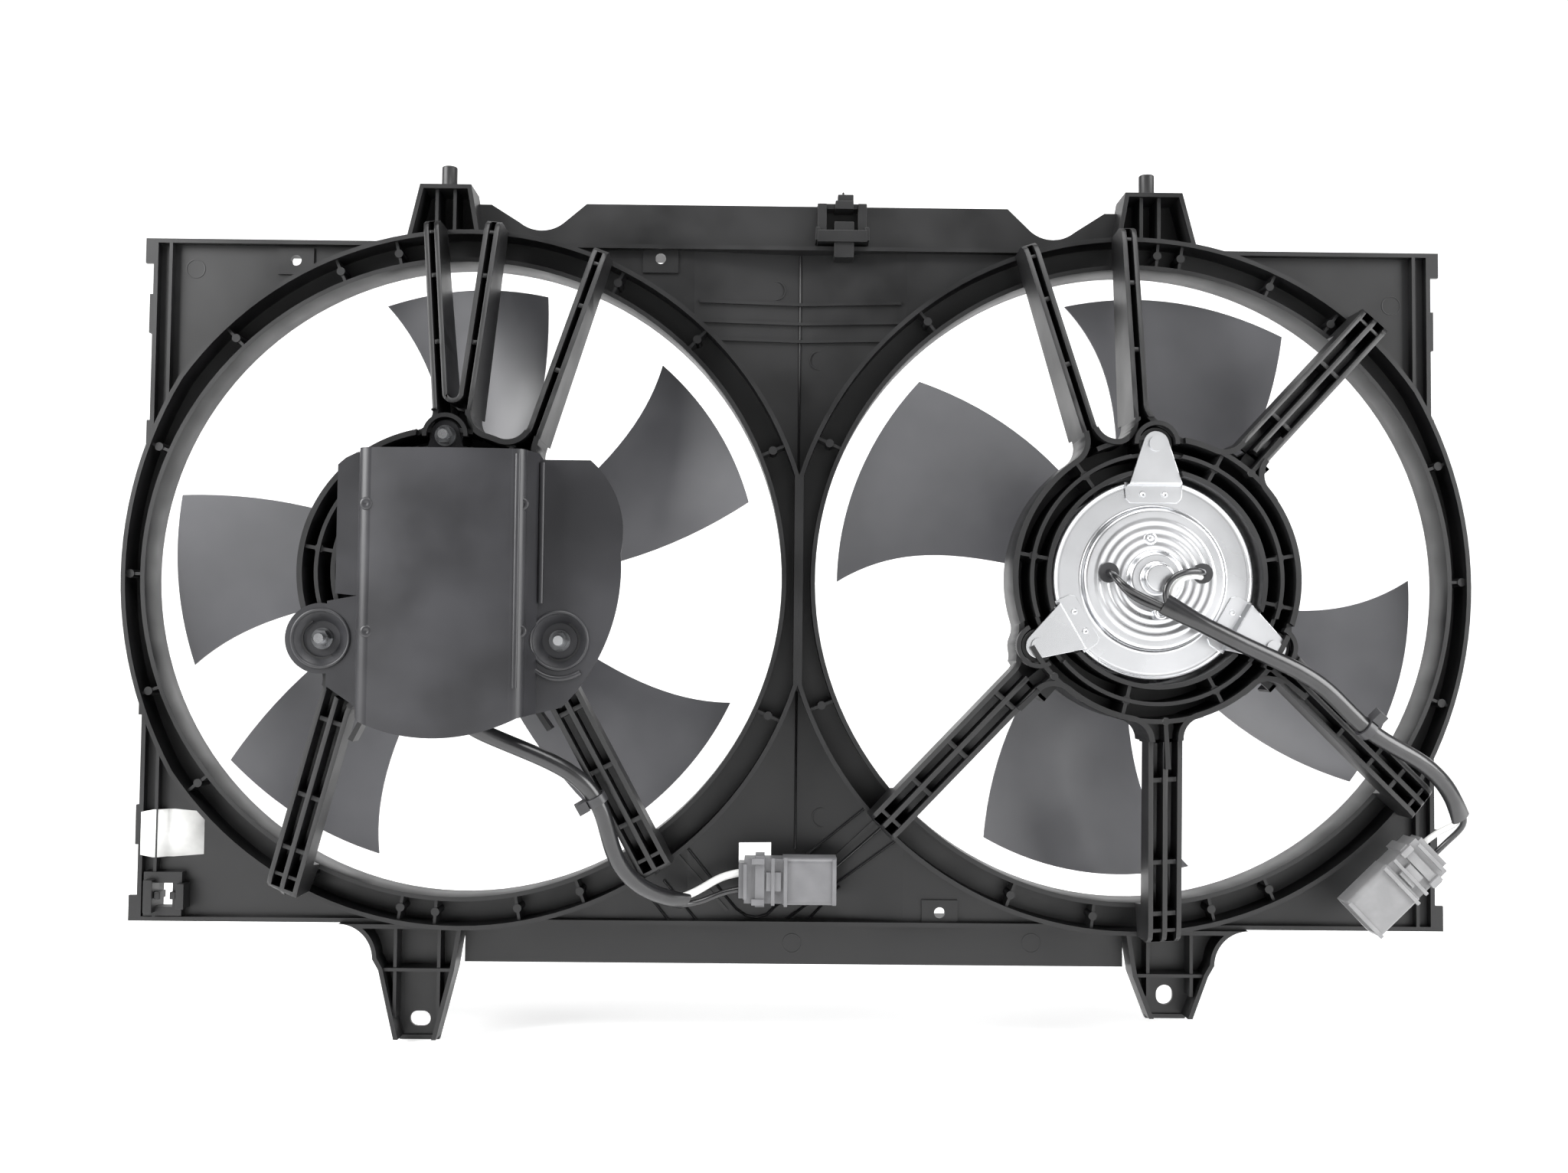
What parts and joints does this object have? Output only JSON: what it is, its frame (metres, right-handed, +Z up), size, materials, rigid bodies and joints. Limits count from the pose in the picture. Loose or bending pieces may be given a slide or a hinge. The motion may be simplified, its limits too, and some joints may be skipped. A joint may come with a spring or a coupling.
{
  "type": "radiator fan shroud",
  "caption": "Twin electric radiator fan shroud: moulded panel with ring-and-arm motor carriers, bladed fans, a heat shield over one motor, cable tails and connectors.",
  "frame": {"origin": "midway between the two upper locating pins, on the shoulder each pin stands on", "axes": "+X to the right along both fan axes' common line, as the engine side sees it; +Y from the engine towards the radiator; +Z up along the locating pins"},
  "size_m": [0.7419, 0.129, 0.4887],
  "materials": {
    "shroud_plastic": "satin moulded",
    "fan_plastic": "satin moulded",
    "dark_sheet": "satin dark coating",
    "black_painted_steel": "satin black",
    "plated_steel": "bright zinc plate",
    "bright_steel": "ground",
    "rubber": "matt",
    "bronze": "sintered",
    "ferrite": "matt ceramic",
    "card": "phenolic board",
    "carbon": "matt carbon",
    "copper": "bright copper",
    "core_steel": "laminated steel",
    "connector_plastic": "satin moulded",
    "sleeve_plastic": "semi-gloss",
    "lead_insulation": "semi-gloss",
    "tie_plastic": "satin"
  },
  "bodies": {
    "shroud": {"cable_ties": "tie_plastic", "centre_panel": "shroud_plastic", "heat_shield": "dark_sheet", "left_arms": "shroud_plastic", "left_brush_card": "card", "left_brushes": "carbon", "left_cable_sleeve": "sleeve_plastic", "left_connector_body": "connector_plastic", "left_connector_pins": "bright_steel", "left_connector_shroud": "connector_plastic", "left_end_panel": "shroud_plastic", "left_foot": "shroud_plastic", "left_hub_ring": "shroud_plastic", "left_leads": "lead_insulation", "left_motor_bushes": "bronze", "left_motor_can": "black_painted_steel", "left_motor_cover": "black_painted_steel", "left_motor_ears": "plated_steel", "left_motor_grommets": "rubber", "left_motor_magnets": "ferrite", "left_motor_nuts": "plated_steel", "left_motor_studs": "plated_steel", "left_motor_washers": "plated_steel", "left_pin_tower": "shroud_plastic", "left_ring": "shroud_plastic", "right_arms": "shroud_plastic", "right_brush_card": "card", "right_brushes": "carbon", "right_cable_sleeve": "sleeve_plastic", "right_connector_body": "connector_plastic", "right_connector_pins": "bright_steel", "right_connector_shroud": "connector_plastic", "right_end_panel": "shroud_plastic", "right_foot": "shroud_plastic", "right_hub_ring": "shroud_plastic", "right_leads": "lead_insulation", "right_motor_bushes": "bronze", "right_motor_can": "plated_steel", "right_motor_cover": "plated_steel", "right_motor_ears": "plated_steel", "right_motor_grommets": "rubber", "right_motor_magnets": "ferrite", "right_motor_screws": "plated_steel", "right_pin_tower": "shroud_plastic", "right_ring": "shroud_plastic", "top_hose_clip": "shroud_plastic"},
    "left_rotor": {"left_fan": "fan_plastic", "left_fan_nut": "plated_steel", "left_shaft": "bright_steel", "left_commutator": "copper", "left_armature_core": "core_steel", "left_windings": "copper"},
    "right_rotor": {"right_fan": "fan_plastic", "right_fan_nut": "plated_steel", "right_shaft": "bright_steel", "right_commutator": "copper", "right_armature_core": "core_steel", "right_windings": "copper"}
  },
  "joints": [
    {"name": "left_fan_spin", "type": "hinge", "parent": "shroud", "child": "left_rotor", "pos_m": [-0.18185, 0, -0.2195], "axis": [0, 1, 0], "continuous": true},
    {"name": "right_fan_spin", "type": "hinge", "parent": "shroud", "child": "right_rotor", "pos_m": [0.18515, 0, -0.2195], "axis": [0, 1, 0], "continuous": true}
  ]
}
